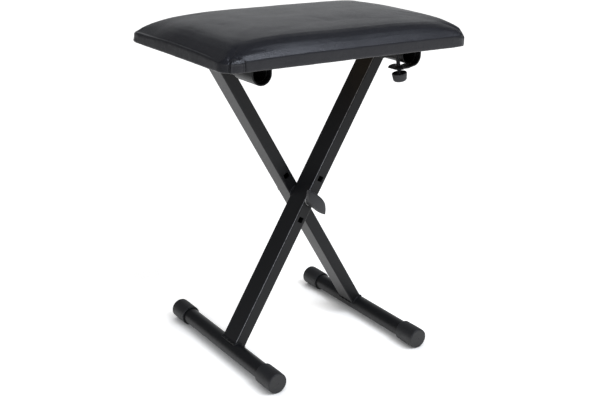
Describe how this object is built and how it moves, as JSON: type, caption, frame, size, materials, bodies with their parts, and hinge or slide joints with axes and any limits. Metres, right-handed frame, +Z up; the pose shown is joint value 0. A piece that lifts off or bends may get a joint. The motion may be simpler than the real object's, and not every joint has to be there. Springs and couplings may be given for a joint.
{
  "type": "folding keyboard bench",
  "caption": "Folding X-frame bench with a padded rectangular seat, crossed tube legs on round foot bars with rubber caps, a wing-nut pivot and clamped hooks under the seat.",
  "frame": {"origin": "on the floor under the middle of the bench, open and ready to sit on", "axes": "+Z up; +X along the seat's long side, towards the end with the open hooks; -Y towards the side with the wing nut"},
  "size_m": [0.41, 0.3, 0.512],
  "materials": {
    "painted_steel": "satin black powder coat",
    "foot_rubber": "matt dark grey",
    "zinc_steel": "bright zinc plating",
    "blackened_steel": "black-finished steel thread",
    "black_plastic": "matt moulded",
    "vinyl": "grained black vinyl, satin",
    "seat_foam": "open-cell foam",
    "plywood": "raw plywood"
  },
  "bodies": {
    "rear_frame": {"rear_leg": "painted_steel", "rear_foot_tube": "painted_steel", "rear_foot_cap_near": "foot_rubber", "rear_foot_cap_far": "foot_rubber", "rear_top_tube": "painted_steel", "pivot_bolt": "zinc_steel", "leg_spacer_washer": "black_plastic"},
    "front_frame": {"front_leg": "painted_steel", "front_foot_tube": "painted_steel", "front_foot_cap_near": "foot_rubber", "front_foot_cap_far": "foot_rubber", "front_top_tube": "painted_steel"},
    "thrust_washer": {"pivot_washer": "zinc_steel"},
    "wing_nut_body": {"wing_nut": "black_plastic", "wing_nut_insert": "zinc_steel"},
    "seat": {"seat_cover": "vinyl", "seat_foam": "seat_foam", "seat_board": "plywood", "near_pivot_plate": "painted_steel", "near_pivot_strap": "painted_steel", "near_pivot_screw_1": "zinc_steel", "near_pivot_screw_2": "zinc_steel", "near_pivot_screw_3": "zinc_steel", "near_pivot_screw_4": "zinc_steel", "near_hook_plate": "painted_steel", "near_hook_strap": "painted_steel", "near_hook_screw_1": "zinc_steel", "near_hook_screw_2": "zinc_steel", "far_pivot_plate": "painted_steel", "far_pivot_strap": "painted_steel", "far_pivot_screw_1": "zinc_steel", "far_pivot_screw_2": "zinc_steel", "far_pivot_screw_3": "zinc_steel", "far_pivot_screw_4": "zinc_steel", "far_hook_plate": "painted_steel", "far_hook_strap": "painted_steel", "far_hook_screw_1": "zinc_steel", "far_hook_screw_2": "zinc_steel"},
    "near_clamp_rod": {"near_clamp_screw": "blackened_steel"},
    "near_clamp_handle": {"near_clamp_knob": "black_plastic"},
    "far_clamp_rod": {"far_clamp_screw": "blackened_steel"},
    "far_clamp_handle": {"far_clamp_knob": "black_plastic"}
  },
  "joints": [
    {"name": "x_fold", "type": "hinge", "parent": "rear_frame", "child": "front_frame", "pos_m": [0, -0.017, 0.23622], "axis": [0, -1, 0], "range_deg": [0, 50]},
    {"name": "seat_fold", "type": "hinge", "parent": "rear_frame", "child": "seat", "pos_m": [-0.12847, 0, 0.45371], "axis": [0, -1, 0], "range_deg": [0, 25]},
    {"name": "wing_nut_travel", "type": "slide", "parent": "rear_frame", "child": "thrust_washer", "axis": [0, -1, 0], "range_m": [0, 0.0125]},
    {"name": "wing_nut_turn", "type": "hinge", "parent": "thrust_washer", "child": "wing_nut_body", "pos_m": [0, -0.045, 0.23622], "axis": [0, -1, 0], "range_deg": [0, 3600]},
    {"name": "near_clamp_travel", "type": "slide", "parent": "seat", "child": "near_clamp_rod", "axis": [0.1908, 0, -0.9816], "range_m": [0, 0.024]},
    {"name": "near_clamp_turn", "type": "hinge", "parent": "near_clamp_rod", "child": "near_clamp_handle", "pos_m": [0.10846, -0.1003, 0.43], "axis": [0.1908, 0, -0.9816], "range_deg": [0, 8640]},
    {"name": "far_clamp_travel", "type": "slide", "parent": "seat", "child": "far_clamp_rod", "axis": [0.1908, 0, -0.9816], "range_m": [0, 0.024]},
    {"name": "far_clamp_turn", "type": "hinge", "parent": "far_clamp_rod", "child": "far_clamp_handle", "pos_m": [0.10846, 0.1003, 0.43], "axis": [0.1908, 0, -0.9816], "range_deg": [0, 8640]}
  ],
  "couplings": [
    {"joint": "seat_fold", "follows": "x_fold", "ratio": 0.5},
    {"joint": "wing_nut_travel", "follows": "wing_nut_turn", "m_per_rad": 0.00019894},
    {"joint": "near_clamp_travel", "follows": "near_clamp_turn", "m_per_rad": 0.00015915},
    {"joint": "far_clamp_travel", "follows": "far_clamp_turn", "m_per_rad": 0.00015915}
  ]
}
